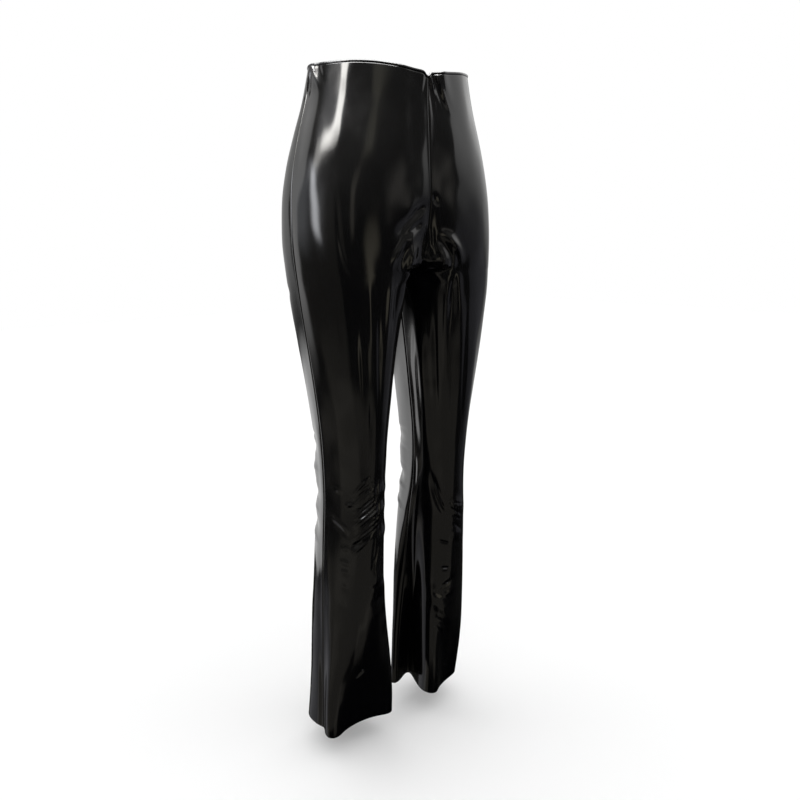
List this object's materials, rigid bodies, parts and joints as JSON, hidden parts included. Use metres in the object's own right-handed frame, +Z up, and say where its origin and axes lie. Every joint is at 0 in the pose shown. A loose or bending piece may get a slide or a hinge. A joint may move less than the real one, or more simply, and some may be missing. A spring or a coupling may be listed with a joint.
{
  "type": "faux leather flared trousers",
  "caption": "High-waisted flared trousers of glossy black faux leather, hollow and standing open as worn, with a rolled waist edge and open hems.",
  "frame": {"origin": "middle of the waist opening, where the wearer's waist holds the trousers up", "axes": "+X towards the wearer's left, +Y towards the wearer's back, +Z up"},
  "size_m": [0.3674, 0.2134, 1.07],
  "materials": {
    "patent_front": "patent gloss",
    "patent_back": "patent gloss",
    "patent_edge": "patent gloss, rolled"
  },
  "bodies": {
    "root": {"front_right": "patent_front", "front_left": "patent_front", "back_right": "patent_back", "back_left": "patent_back", "waist_roll": "patent_edge"}
  },
  "joints": []
}
